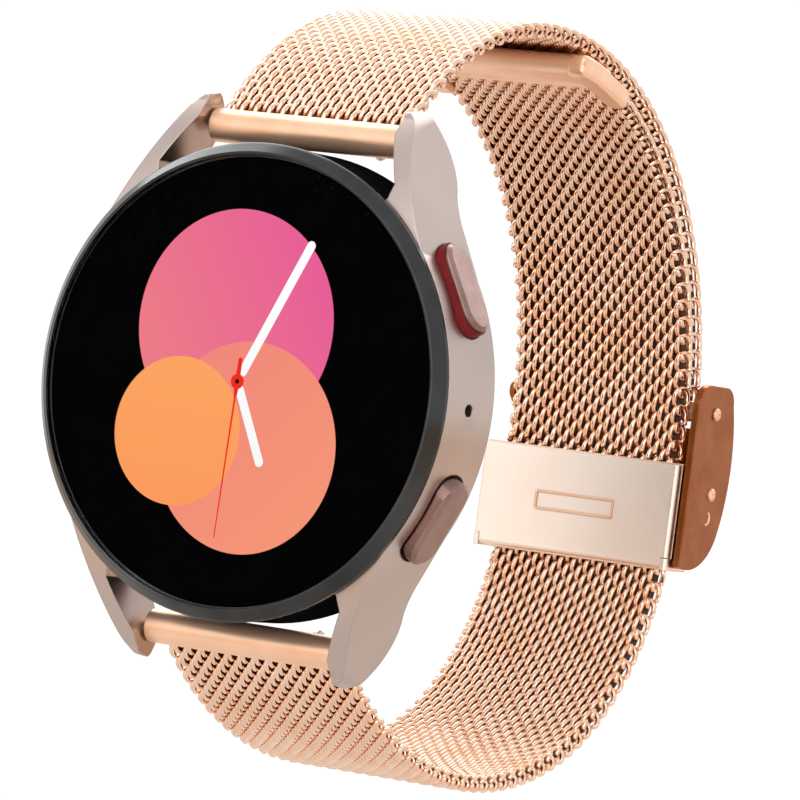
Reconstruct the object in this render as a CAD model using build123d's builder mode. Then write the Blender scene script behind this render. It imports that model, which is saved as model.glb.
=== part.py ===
"""Round smartwatch on a closed woven-wire band with a folding clasp.

Millimetres. Origin at the centre of the cover glass's front face: +X to 3 o'clock,
+Z to 12 o'clock, +Y into the wrist, so the face looks along -Y.
"""

import os
from math import cos, radians, sin, tan

from build123d import *

os.makedirs("parts", exist_ok=True)

# ---- Driving dimensions ----------------------------------------------------

# Watch head
CASE_RADIUS = 21.65  # widest, at the rear
CASE_DRAFT = 6.0  # degrees that the sides lean in towards the front
CASE_FRONT = 1.55  # y of the case's front rim
CASE_REAR = 8.0  # y of the case's rear rim
CAVITY_RADIUS = 18.9
HOUSING_RADIUS = 20.3
WING_RADIUS = 20.65  # of the housing's wings, which show between the lugs
INNER_WALL_RADIUS = 19.6  # outside of the case's wall where a wing covers it
BEZEL_RADIUS = 20.8
GLASS_RADIUS = 19.6
GLASS_THICK = 0.9
LUG_WIDTH = 20.0  # clear width between a pair of lugs
LUG_GAP_HALF = LUG_WIDTH / 2 + 0.15
LUG_TANGENT = 26.5  # degrees, where a lug's outer side leaves the round case
LUG_DRAFT = 9.0
LUG_TIP_Z = 25.4
LUG_LOW_Y = 9.3  # y of the lugs' lowest point, towards the wrist
LUG_CORNER = 1.0

# Spring bars, in both pairs of lugs
BAR_Y = 7.6
BAR_Z = 22.3
BAR_RADIUS = 0.75
BAR_TIP_RADIUS = 0.45
END_TUBE_RADIUS = 1.5
RUNNING_GAP = 0.05

# Buttons
BUTTON_ANGLES = {"upper": 28.5, "lower": -27.0}  # degrees above 3 o'clock
BUTTON_Y = 5.05
BUTTON_LENGTH = 8.2
BUTTON_WIDTH = 3.5
BUTTON_FACE = 22.15  # distance of the button's face from the case's axis
BUTTON_BACK = 20.35
POCKET_FLOOR = 19.95
PORT_Y = 4.6  # of the microphone port and the speaker ports

# Band: one closed loop of tangent arcs, from the 12 o'clock bar over the back
# to the 6 o'clock bar. It is the surface between the two layers of mesh.
LOOP_START = (BAR_Y + 1.13, 22.23)
LOOP_HEADING = 54.1  # degrees above +Y
LOOP_TURNS = (46.6, 80.4, 17.1, 1.2, 17.0, 52.6, 65.1)
LOOP_RADII = (28.5, 33.5, 30.5, 600.0, 13.0, 27.54, 38.29)  # the fourth lies in the clasp
BAND_WIDTH = 20.0
MESH_THICK = 1.7
LAYER_GAP = 0.25  # between the outer and the inner layer of mesh
CUT_GAP = 0.16  # between two lengths of one layer

# Headings, in degrees, where the lengths of mesh meet
UPPER_FLEX = -22.0
LOWER_FLEX = -138.0

# Clasp
BOX_TOP = -2.3
BOX_BOTTOM = -12.6
BOX_HALF = 10.8
BOX_FRONT = 62.5
BOX_BACK = 66.75
PIN_Y = 66.85
PIN_Z = 2.8
PIN_RADIUS = 0.45
RIVET_Y = 67.9
RIVET_Z = -4.9
EAR_INNER = 11.1
EAR_OUTER = 11.8
TIP_LENGTH = 5.2


# ---- The band's path ---------------------------------------------------------


def outward(heading):
    """Unit vector (y, z) that points out of the loop where it runs at heading."""
    return (-sin(radians(heading)), cos(radians(heading)))


def loop_arcs():
    """Each arc as (centre y, centre z, radius, heading at start, heading at end)."""
    y, z = LOOP_START
    heading = LOOP_HEADING
    arcs = []
    for turn, radius in zip(LOOP_TURNS, LOOP_RADII):
        ny, nz = outward(heading)
        cy, cz = y - radius * ny, z - radius * nz
        arcs.append((cy, cz, radius, heading, heading - turn))
        heading -= turn
        ny, nz = outward(heading)
        y, z = cy + radius * ny, cz + radius * nz
    return arcs


ARCS = loop_arcs()
LOOP_END_HEADING = ARCS[-1][4]


def loop_point(heading, off=0.0):
    """Point (y, z) of the loop at a heading, moved outwards by off."""
    for cy, cz, radius, first, last in ARCS:
        if first >= heading >= last:
            break
    ny, nz = outward(heading)
    return (cy + (radius + off) * ny, cz + (radius + off) * nz)


def heading_at_z(z_level):
    """Heading where the back of the loop passes a height."""
    low, high = -150.0, -20.0
    for _ in range(60):
        middle = (low + high) / 2
        if loop_point(middle)[1] > z_level:
            high = middle
        else:
            low = middle
    return middle


def layer_outline(first, last, inner, outer):
    """Closed outline of a layer from heading first down to last, drawn in Plane.YZ."""
    spans = []
    for cy, cz, radius, start, end in ARCS:
        a, b = min(first, start), max(last, end)
        if a > b:
            spans.append((a, b))
    for a, b in spans:
        middle = (a + b) / 2
        ThreePointArc(loop_point(a, outer), loop_point(middle, outer), loop_point(b, outer))
    Line(loop_point(last, outer), loop_point(last, inner))
    for a, b in reversed(spans):
        middle = (a + b) / 2
        ThreePointArc(loop_point(b, inner), loop_point(middle, inner), loop_point(a, inner))
    Line(loop_point(first, inner), loop_point(first, outer))


def gap_angle(gap):
    """Half the angle that a gap takes on an arc of about the loop's radius."""
    return gap / 2 / 33.0 * 57.3


OUTER_LOW = LAYER_GAP / 2
OUTER_HIGH = OUTER_LOW + MESH_THICK
INNER_HIGH = -LAYER_GAP / 2
INNER_LOW = INNER_HIGH - MESH_THICK
UPPER_END = heading_at_z(PIN_Z + 0.9)
BOX_TOP_HEADING = heading_at_z(BOX_TOP + 0.3)
TAIL_END = -15.0


def facing(y):
    """Plane parallel to the watch's face at depth y, with its normal towards the viewer."""
    return Plane.XZ.offset(-y)


def finish(piece, name):
    piece.part.label = name
    export_step(piece.part, f"parts/{name}.step")


# ---- Watch head: case --------------------------------------------------------


LUG_TOUCH = (CASE_RADIUS * cos(radians(LUG_TANGENT)), CASE_RADIUS * sin(radians(LUG_TANGENT)))
LUG_TIP_X = LUG_TOUCH[0] - (LUG_TIP_Z - LUG_TOUCH[1]) * tan(radians(LUG_TANGENT))


def lug_pair(side):
    """Outline of both lugs on one side, which runs on tangent lines from the round case."""
    x, z = LUG_TOUCH
    inner = LUG_GAP_HALF - 1.0
    corners = [(x, -z), (LUG_TIP_X, -LUG_TIP_Z), (inner, -LUG_TIP_Z)]
    corners += [(inner, LUG_TIP_Z), (LUG_TIP_X, LUG_TIP_Z), (x, z)]
    return [(side * a, b) for a, b in corners]


def lug_gap(side, clearance=0.0):
    """Outline of the room between two lugs, which widens where it meets the round case."""
    right = [(LUG_GAP_HALF, 30.0), (LUG_GAP_HALF, 22.9), (12.2, 18.4), (11.9, 17.1), (11.0, 16.1), (11.0, 14.0)]
    right = [(x - clearance, z) for x, z in right]
    left = [(-x, z) for x, z in reversed(right)]
    return [(x, side * z) for x, z in right + left]


with BuildPart() as case_frame:
    with BuildSketch(facing(LUG_LOW_Y)):
        Circle(CASE_RADIUS)
    extrude(amount=LUG_LOW_Y - CASE_FRONT, taper=CASE_DRAFT)
    for side in (-1, 1):
        with BuildSketch(facing(LUG_LOW_Y)) as lugs:
            Polygon(*lug_pair(side), align=None)
            tips = [v for v in lugs.vertices() if abs(v.Y) > LUG_TIP_Z - 0.1 and abs(v.X) > LUG_GAP_HALF]
            fillet(tips, LUG_CORNER)
        extrude(amount=LUG_LOW_Y - CASE_FRONT, taper=LUG_DRAFT)
    # Side view: flat front rim, lugs that curve down to the wrist, rounded tips.
    with BuildSketch(Plane.YZ) as side_view:
        with BuildLine() as half:
            Line((CASE_FRONT, 0), (CASE_FRONT, 12.5))
            ThreePointArc((CASE_FRONT, 12.5), (2.75, 19.0), (5.9, 24.3))
            ThreePointArc((5.9, 24.3), (7.1, LUG_TIP_Z - 0.15), (8.3, 24.6))
            ThreePointArc((8.3, 24.6), (LUG_LOW_Y, 21.6), (8.5, 18.2))
            ThreePointArc((8.5, 18.2), (CASE_REAR + 0.1, 16.8), (CASE_REAR, 15.0))
            Line((CASE_REAR, 15.0), (CASE_REAR, 0))
            Line((CASE_REAR, 0), (CASE_FRONT, 0))
        make_face()
        mirror(about=Plane.XZ)
    extrude(amount=30, both=True, mode=Mode.INTERSECT)
    # Room between each pair of lugs for the band's end and the rear housing's wing.
    for side in (-1, 1):
        with BuildSketch(facing(LUG_LOW_Y + 1)):
            Polygon(*lug_gap(side), align=None)
            Circle(INNER_WALL_RADIUS, mode=Mode.SUBTRACT)
        extrude(amount=LUG_LOW_Y + 1, mode=Mode.SUBTRACT)
    with BuildSketch(facing(LUG_LOW_Y + 1)):
        Circle(CAVITY_RADIUS)
    extrude(amount=LUG_LOW_Y + 1, mode=Mode.SUBTRACT)
    # Seat of the rear housing.
    with BuildSketch(facing(LUG_LOW_Y + 1)):
        Circle(HOUSING_RADIUS + 0.1)
    extrude(amount=LUG_LOW_Y + 1 - CASE_REAR, mode=Mode.SUBTRACT)
    # Blind holes for the tips of the spring bars.
    for side in (-1, 1):
        with BuildSketch(Plane.YZ):
            with Locations((BAR_Y, side * BAR_Z)):
                Circle(BAR_TIP_RADIUS + RUNNING_GAP)
        extrude(amount=11.3, both=True, mode=Mode.SUBTRACT)
    # Microphone port and speaker port in the side wall.
    with BuildSketch(Plane.YZ.offset(CAVITY_RADIUS - 1)):
        with Locations((PORT_Y, 0)):
            Circle(0.55)
    extrude(amount=5, mode=Mode.SUBTRACT)
    with BuildSketch(Plane.YZ.offset(-CAVITY_RADIUS + 1)):
        with GridLocations(0, 1.5, 1, 4):
            with Locations((PORT_Y, 0)):
                Circle(0.4)
    extrude(amount=-5, mode=Mode.SUBTRACT)
    # Button pockets, stem holes and seal seats.
    for angle in BUTTON_ANGLES.values():
        direction = (cos(radians(angle)), 0, sin(radians(angle)))
        along = (-sin(radians(angle)), 0, cos(radians(angle)))
        centre = Vector(0, BUTTON_Y, 0)
        pocket = Plane(origin=centre + Vector(*direction) * POCKET_FLOOR, x_dir=along, z_dir=direction)
        with BuildSketch(pocket):
            SlotOverall(BUTTON_LENGTH + 0.5, BUTTON_WIDTH + 0.5)
        extrude(amount=6, mode=Mode.SUBTRACT)
        with BuildSketch(pocket):
            Circle(0.8)
        extrude(amount=-3, mode=Mode.SUBTRACT)
        with BuildSketch(pocket):
            Circle(1.2)
        extrude(amount=-0.7, mode=Mode.SUBTRACT)
finish(case_frame, "case_frame")


# ---- Watch head: front -------------------------------------------------------


with BuildPart() as bezel_ring:
    with BuildSketch(Plane.XY):
        Polygon(
            (GLASS_RADIUS + 0.06, 0.22),
            (GLASS_RADIUS + 0.3, 0.16),
            (BEZEL_RADIUS - 0.12, 0.95),
            (BEZEL_RADIUS, 1.12),
            (BEZEL_RADIUS, CASE_FRONT - 0.02),
            (CAVITY_RADIUS - 0.05, CASE_FRONT - 0.02),
            (CAVITY_RADIUS - 0.05, 2.5),
            (CAVITY_RADIUS - 0.65, 2.5),
            (CAVITY_RADIUS - 0.65, GLASS_THICK + 0.04),
            (GLASS_RADIUS + 0.06, GLASS_THICK + 0.04),
            align=None,
        )
    revolve(axis=Axis.Y)
finish(bezel_ring, "bezel_ring")

with BuildPart() as cover_glass:
    with BuildSketch(facing(GLASS_THICK)):
        Circle(GLASS_RADIUS)
    extrude(amount=GLASS_THICK)
    front_edge = cover_glass.edges().filter_by(GeomType.CIRCLE).sort_by(Axis.Y)[0]
    fillet(front_edge, 0.45)
finish(cover_glass, "cover_glass")

with BuildPart() as glass_adhesive:
    with BuildSketch(facing(GLASS_THICK + 0.04)):
        Circle(GLASS_RADIUS - 0.1)
        Circle(CAVITY_RADIUS - 0.6, mode=Mode.SUBTRACT)
    extrude(amount=0.04)
finish(glass_adhesive, "glass_adhesive")

DISPLAY_RADIUS = 18.1
DISPLAY_BACK = 1.6
with BuildPart() as display_panel:
    with BuildSketch(facing(DISPLAY_BACK)):
        Circle(DISPLAY_RADIUS)
    extrude(amount=DISPLAY_BACK - GLASS_THICK)
finish(display_panel, "display_panel")

BRACKET_BACK = 2.4
with BuildPart() as display_bracket:
    with BuildSketch(facing(BRACKET_BACK)):
        Circle(DISPLAY_RADIUS)
        with PolarLocations(14.5, 6):
            Circle(1.6, mode=Mode.SUBTRACT)
        with Locations((0, -8)):
            Rectangle(9, 1.2, mode=Mode.SUBTRACT)
    extrude(amount=BRACKET_BACK - DISPLAY_BACK)
finish(display_bracket, "display_bracket")

# ---- Watch head: electronics ---------------------------------------------------

BATTERY_FRONT = 2.5
BATTERY_BACK = 5.6
MOTOR_X = 13.5  # of the vibration motor, and of the speaker on the other side
with BuildPart() as battery:
    with BuildSketch(facing(BATTERY_BACK)):
        RectangleRounded(21, 24, 4)
    extrude(amount=BATTERY_BACK - BATTERY_FRONT)
    fillet(battery.edges().filter_by(Plane.XZ), 0.4)
finish(battery, "battery")

with BuildPart() as inner_cradle:
    with BuildSketch(facing(BATTERY_BACK)):
        Circle(17.2)
        RectangleRounded(21.4, 24.4, 4.2, mode=Mode.SUBTRACT)
        for pocket_x in (-MOTOR_X, MOTOR_X):
            with Locations((pocket_x, 0)):
                RectangleRounded(4.2, 10.6, 0.6, mode=Mode.SUBTRACT)
    extrude(amount=BATTERY_BACK - BATTERY_FRONT)
finish(inner_cradle, "inner_cradle")

with BuildPart() as vibration_motor:
    with BuildSketch(facing(BATTERY_BACK - 0.1)):
        with Locations((-MOTOR_X, 0)):
            RectangleRounded(3.8, 10.2, 0.5)
    extrude(amount=2.8)
finish(vibration_motor, "vibration_motor")

with BuildPart() as speaker:
    with BuildSketch(facing(BATTERY_BACK - 0.1)):
        with Locations((MOTOR_X, 0)):
            RectangleRounded(3.8, 9.4, 0.5)
    extrude(amount=2.8)
finish(speaker, "speaker")

with BuildPart() as microphone:
    with BuildSketch(facing(PORT_Y + 0.5)):
        with Locations((17.95, 0)):
            Rectangle(0.9, 2.4)
    extrude(amount=1.6)
finish(microphone, "microphone")

BOARD_FRONT = BATTERY_BACK + 0.1
BOARD_BACK = BOARD_FRONT + 0.6
with BuildPart() as main_board:
    with BuildSketch(facing(BOARD_BACK)):
        Circle(17.6)
        with PolarLocations(15.6, 4, start_angle=45):
            Circle(0.75, mode=Mode.SUBTRACT)
    extrude(amount=BOARD_BACK - BOARD_FRONT)
finish(main_board, "main_board")

with BuildPart() as board_shields:
    with BuildSketch(facing(BOARD_BACK + 0.8)):
        for x, z, w, h in ((-6.5, 8.0, 8, 6), (5.5, 9.0, 9, 5), (-8.0, -8.5, 7, 5)):
            with Locations((x, -z)):
                RectangleRounded(w, h, 0.4)
    extrude(amount=0.8)
finish(board_shields, "board_shields")

with BuildPart() as button_switches:
    for angle in BUTTON_ANGLES.values():
        direction = (cos(radians(angle)), 0, sin(radians(angle)))
        along = (-sin(radians(angle)), 0, cos(radians(angle)))
        base = Vector(0, BUTTON_Y, 0) + Vector(*direction) * 17.3
        with BuildSketch(Plane(origin=base, x_dir=along, z_dir=direction)):
            Rectangle(3.4, 0.9)
        extrude(amount=0.55)
        with BuildSketch(Plane(origin=base, x_dir=along, z_dir=direction)):
            Circle(0.4)
        extrude(amount=0.75)
finish(button_switches, "button_switches")

# ---- Watch head: rear ----------------------------------------------------------

HOUSING_BACK = 8.9
WINDOW_RADIUS = 13.6
with BuildPart() as rear_housing:
    with BuildSketch(facing(HOUSING_BACK)):
        Circle(HOUSING_RADIUS)
    extrude(amount=HOUSING_BACK - CASE_REAR - 0.04)
    fillet(rear_housing.edges().filter_by(GeomType.CIRCLE).sort_by(Axis.Y)[-1], 0.5)
    # Spigot that centres the housing in the case.
    with BuildSketch(facing(CASE_REAR + 0.1)):
        Circle(CAVITY_RADIUS - 0.05)
        Circle(CAVITY_RADIUS - 1.1, mode=Mode.SUBTRACT)
    extrude(amount=1.0)
    # Wings that cover the case's wall between the lugs.
    for side in (-1, 1):
        with BuildSketch(facing(HOUSING_BACK - 0.5)):
            Polygon(*lug_gap(side, 0.1), align=None)
            Circle(WING_RADIUS, mode=Mode.INTERSECT)
            Circle(INNER_WALL_RADIUS + 0.04, mode=Mode.SUBTRACT)
        extrude(amount=HOUSING_BACK - 0.5 - CASE_FRONT - 0.04)
    with BuildSketch(facing(HOUSING_BACK + 0.1)):
        Circle(WINDOW_RADIUS + 0.05)
    extrude(amount=1.4, mode=Mode.SUBTRACT)
    with BuildSketch(facing(HOUSING_BACK + 0.1)):
        with PolarLocations(16.6, 4, start_angle=45):
            Circle(0.95)
    extrude(amount=0.55, mode=Mode.SUBTRACT)
    with BuildSketch(facing(HOUSING_BACK + 0.1)):
        with PolarLocations(16.6, 4, start_angle=45):
            Circle(0.5)
    extrude(amount=1.4, mode=Mode.SUBTRACT)
finish(rear_housing, "rear_housing")

with BuildPart() as rear_gasket:
    with BuildSketch(Plane.XY):
        with Locations((CAVITY_RADIUS - 1.4, CASE_REAR - 0.35)):
            Circle(0.28)
    revolve(axis=Axis.Y)
finish(rear_gasket, "rear_gasket")

with BuildPart() as rear_screws:
    with BuildSketch(facing(HOUSING_BACK - 0.05)):
        with PolarLocations(16.6, 4, start_angle=45):
            Circle(0.9)
            RegularPolygon(0.35, 6, mode=Mode.SUBTRACT)
    extrude(amount=0.38)
    with BuildSketch(facing(HOUSING_BACK - 0.4)):
        with PolarLocations(16.6, 4, start_angle=45):
            Circle(0.48)
    extrude(amount=1.0)
finish(rear_screws, "rear_screws")

# Domed glass over the sensors: a shallow dome on a short cylinder.
DOME_HEIGHT = 1.1
DOME_RADIUS = (WINDOW_RADIUS**2 + (DOME_HEIGHT - 0.1) ** 2) / (2 * (DOME_HEIGHT - 0.1))
with BuildPart() as sensor_window:
    with BuildSketch(facing(HOUSING_BACK + DOME_HEIGHT)):
        Circle(WINDOW_RADIUS)
    extrude(amount=DOME_HEIGHT + 0.55)
    with Locations((0, HOUSING_BACK + DOME_HEIGHT - DOME_RADIUS, 0)):
        Sphere(DOME_RADIUS, mode=Mode.INTERSECT)
finish(sensor_window, "sensor_window")

with BuildPart() as charging_coil:
    with BuildSketch(facing(HOUSING_BACK - 0.6)):
        Circle(12.6)
        Circle(8.2, mode=Mode.SUBTRACT)
    extrude(amount=0.35)
finish(charging_coil, "charging_coil")

with BuildPart() as sensor_board:
    with BuildSketch(facing(HOUSING_BACK - 0.95)):
        Circle(7.8)
    extrude(amount=0.4)
finish(sensor_board, "sensor_board")

with BuildPart() as sensor_lights:
    with BuildSketch(facing(HOUSING_BACK - 0.58)):
        with PolarLocations(5.0, 8):
            RectangleRounded(1.4, 1.4, 0.2)
        Circle(1.6)
    extrude(amount=0.36)
finish(sensor_lights, "sensor_lights")

# ---- Buttons -------------------------------------------------------------------

for name, angle in BUTTON_ANGLES.items():
    direction = (cos(radians(angle)), 0, sin(radians(angle)))
    along = (-sin(radians(angle)), 0, cos(radians(angle)))
    axis_point = Vector(0, BUTTON_Y, 0)
    out = Vector(*direction)
    with BuildPart() as button:
        with BuildSketch(Plane(origin=axis_point + out * BUTTON_BACK, x_dir=along, z_dir=direction)):
            SlotOverall(BUTTON_LENGTH, BUTTON_WIDTH)
        extrude(amount=BUTTON_FACE - BUTTON_BACK)
        chamfer(button.faces().sort_by(Axis(axis_point, direction))[-1].edges(), 0.32)
        with BuildSketch(Plane(origin=axis_point + out * BUTTON_BACK, x_dir=along, z_dir=direction)):
            Circle(0.72)
        extrude(amount=-1.95)
    finish(button, f"{name}_button")

    with BuildPart() as seal:
        seal_plane = Plane(origin=axis_point + out * (POCKET_FLOOR - 0.36), x_dir=along, z_dir=direction)
        with BuildSketch(seal_plane):
            Circle(1.15)
            Circle(0.72, mode=Mode.SUBTRACT)
        extrude(amount=0.4)
    finish(seal, f"{name}_button_seal")

# Coloured insert around the upper button's skirt.
with BuildPart() as upper_button_trim:
    angle = BUTTON_ANGLES["upper"]
    direction = (cos(radians(angle)), 0, sin(radians(angle)))
    along = (-sin(radians(angle)), 0, cos(radians(angle)))
    trim_base = Vector(0, BUTTON_Y, 0) + Vector(*direction) * 20.6
    with BuildSketch(Plane(origin=trim_base, x_dir=along, z_dir=direction)):
        SlotOverall(BUTTON_LENGTH + 0.36, BUTTON_WIDTH + 0.36)
        SlotOverall(BUTTON_LENGTH, BUTTON_WIDTH, mode=Mode.SUBTRACT)
    extrude(amount=1.0)
finish(upper_button_trim, "upper_button_trim")

# ---- Spring bars and end tubes -----------------------------------------------

BAR_HALF = 9.6
PIN_SPAN = 1.55  # how far a tip reaches out of the bar's tube
LEVER_X = 6.2
# For each bar its side, and the degrees that its lever leans from +Y towards the watch's middle.
BARS = {"upper": (1, 30.0), "lower": (-1, 34.0)}
for name, (side, tilt) in BARS.items():
    bar_centre = (0, BAR_Y, side * BAR_Z)
    bar_plane = Plane(origin=bar_centre, x_dir=(0, 1, 0), z_dir=(1, 0, 0))
    lean_y, lean_z = cos(radians(tilt)), side * sin(radians(tilt))
    lever_plane = Plane(origin=bar_centre, x_dir=(1, 0, 0), z_dir=(0, lean_z, lean_y))
    knob_centre = Vector(LEVER_X, BAR_Y + 1.85 * lean_y, side * BAR_Z - 1.85 * lean_z)
    # Tube of the spring bar, with its fixed tip on the 9 o'clock side.
    with BuildPart() as bar:
        with BuildSketch(bar_plane.offset(-BAR_HALF)):
            Circle(BAR_RADIUS)
        extrude(amount=2 * BAR_HALF - 0.4)
        with BuildSketch(bar_plane.offset(-BAR_HALF - PIN_SPAN)):
            Circle(BAR_TIP_RADIUS)
        extrude(amount=PIN_SPAN)
        with BuildSketch(bar_plane.offset(-2)):
            Circle(0.5)
        extrude(amount=BAR_HALF + 4, mode=Mode.SUBTRACT)
        # Slot in the tube for the lever's shank.
        with BuildSketch(lever_plane):
            with Locations((LEVER_X - 0.5, 0.5)):
                Rectangle(2.6, 1.0)
        extrude(amount=0.42, both=True, mode=Mode.SUBTRACT)
    finish(bar, f"{name}_bar_tube")

    # Sliding tip with its lever on the wrist side.
    with BuildPart() as lever:
        with BuildSketch(bar_plane.offset(LEVER_X - 1.0)):
            Circle(BAR_TIP_RADIUS)
        extrude(amount=BAR_HALF + PIN_SPAN - LEVER_X + 1.0)
        with BuildSketch(lever_plane):
            with Locations((LEVER_X, 0.95)):
                Rectangle(0.8, 1.9)
        extrude(amount=0.3, both=True)
        with BuildSketch(Plane(origin=knob_centre, x_dir=(1, 0, 0), z_dir=(0, lean_y, -lean_z))):
            Circle(0.6)
        extrude(amount=0.45)
    finish(lever, f"{name}_release_lever")

    # Spring behind the sliding tip, as the sleeve that its coils fill.
    with BuildPart() as spring:
        with BuildSketch(bar_plane.offset(-1.9)):
            Circle(0.45)
            Circle(0.25, mode=Mode.SUBTRACT)
        extrude(amount=5.8)
    finish(spring, f"{name}_bar_spring")

    # Polished tube that ends the band and turns on the spring bar.
    with BuildPart() as end_tube:
        with BuildSketch(bar_plane.offset(-BAND_WIDTH / 2 + 0.1)):
            Circle(END_TUBE_RADIUS)
            Circle(BAR_RADIUS + RUNNING_GAP, mode=Mode.SUBTRACT)
        extrude(amount=BAND_WIDTH - 0.2)
        with BuildSketch(Plane.YZ.offset(LEVER_X - 2.0)):
            with BuildLine():
                Polyline(
                    (BAR_Y, side * BAR_Z),
                    (BAR_Y + 3.0, side * (BAR_Z + 0.42)),
                    (BAR_Y + 3.0, side * (BAR_Z - 3.0)),
                    (BAR_Y, side * (BAR_Z - 3.0)),
                    close=True,
                )
            make_face()
        extrude(amount=2.75, mode=Mode.SUBTRACT)
    finish(end_tube, f"{name}_end_tube")

# ---- Band: lengths of woven mesh -----------------------------------------------

CUT = gap_angle(CUT_GAP)
MESH_SPANS = {
    "upper_mesh_front": (LOOP_HEADING, UPPER_FLEX + CUT, OUTER_LOW, OUTER_HIGH, 1),
    "upper_mesh_back": (UPPER_FLEX - CUT, UPPER_END, OUTER_LOW, OUTER_HIGH, 0),
    "lower_mesh_front": (LOWER_FLEX - CUT, LOOP_END_HEADING, INNER_LOW, INNER_HIGH, -1),
    "lower_mesh_back": (BOX_TOP_HEADING - CUT, LOWER_FLEX + CUT, INNER_LOW, INNER_HIGH, 0),
    "tail_mesh": (TAIL_END, BOX_TOP_HEADING + CUT, INNER_LOW, INNER_HIGH, 0),
}
for name, (first, last, inner, outer, tube_side) in MESH_SPANS.items():
    with BuildPart() as mesh_layer:
        with BuildSketch(Plane.YZ):
            with BuildLine():
                layer_outline(first, last, inner, outer)
            make_face()
            if tube_side:
                with Locations((BAR_Y, tube_side * BAR_Z)):
                    Circle(END_TUBE_RADIUS, mode=Mode.SUBTRACT)
        extrude(amount=BAND_WIDTH / 2, both=True)
    finish(mesh_layer, name)

# Folded cap on the free end of the tail, with a raised tongue in its middle.
TIP_START = TAIL_END + TIP_LENGTH / 33.3 * 57.3
with BuildPart() as tip_cap:
    with BuildSketch(Plane.YZ):
        with BuildLine():
            layer_outline(TIP_START, TAIL_END, INNER_LOW - 0.15, INNER_HIGH)
        make_face()
    extrude(amount=BAND_WIDTH / 2 + 0.2, both=True)
    with BuildSketch(Plane.YZ):
        with BuildLine():
            layer_outline(TIP_START - 1.2, TAIL_END - 3.2, INNER_LOW - 0.75, INNER_LOW - 0.02)
        make_face()
    extrude(amount=3.4, both=True)
finish(tip_cap, "tip_cap")

# ---- Clasp ---------------------------------------------------------------------

SLOT_FRONT = 63.68
SLOT_BACK = 65.97
PLATE_FRONT = BOX_FRONT
PLATE_BACK = 63.38
PLATE_HALF = BOX_HALF - 0.04
KNUCKLE_HALF = 10.1  # half the width between the two knuckles that hold the lock plate's pin
KNUCKLE_TOP = BOX_BOTTOM + 1.15
LOCK_PIN_Y = 62.94
LOCK_PIN_Z = BOX_BOTTOM + 0.6
LOCK_PIN_RADIUS = 0.22

with BuildPart() as slider_box:
    with BuildSketch(Plane.YZ):
        with Locations(((BOX_FRONT + BOX_BACK) / 2, (BOX_TOP + BOX_BOTTOM) / 2)):
            Rectangle(BOX_BACK - BOX_FRONT, BOX_TOP - BOX_BOTTOM)
    extrude(amount=BOX_HALF, both=True)
    fillet(slider_box.edges().filter_by(Axis.Z), 0.4)
    # Slot for the strap.
    with BuildSketch(Plane.YZ):
        with Locations(((SLOT_FRONT + SLOT_BACK) / 2, (BOX_TOP + BOX_BOTTOM) / 2)):
            Rectangle(SLOT_BACK - SLOT_FRONT, 20)
    extrude(amount=BAND_WIDTH / 2 + 0.12, both=True, mode=Mode.SUBTRACT)
    # Bed of the lock plate, which leaves a knuckle at each end of its pin.
    with BuildSketch(Plane.YZ):
        with Locations(((BOX_FRONT + PLATE_BACK) / 2 - 1, (BOX_TOP + BOX_BOTTOM) / 2)):
            Rectangle(PLATE_BACK - BOX_FRONT + 2.1, 20)
    extrude(amount=KNUCKLE_HALF, both=True, mode=Mode.SUBTRACT)
    with BuildSketch(Plane.YZ):
        with Locations(((BOX_FRONT + PLATE_BACK) / 2 - 1, KNUCKLE_TOP + 10)):
            Rectangle(PLATE_BACK - BOX_FRONT + 2.1, 20)
    extrude(amount=BOX_HALF + 1, both=True, mode=Mode.SUBTRACT)
    # Window for the lock plate's cam.
    with BuildSketch(Plane.YZ):
        with Locations((SLOT_FRONT, (BOX_TOP + BOX_BOTTOM) / 2 - 0.4)):
            Rectangle(1.2, 7.6)
    extrude(amount=8.6, both=True, mode=Mode.SUBTRACT)
    with BuildSketch(Plane.YZ):
        with Locations((LOCK_PIN_Y, LOCK_PIN_Z)):
            Circle(LOCK_PIN_RADIUS)
    extrude(amount=BOX_HALF - 0.2, both=True, mode=Mode.SUBTRACT)
finish(slider_box, "slider_box")

with BuildPart() as lock_plate_pin:
    with BuildSketch(Plane.YZ):
        with Locations((LOCK_PIN_Y, LOCK_PIN_Z)):
            Circle(LOCK_PIN_RADIUS)
    extrude(amount=BOX_HALF - 0.2, both=True)
finish(lock_plate_pin, "lock_plate_pin")

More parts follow.
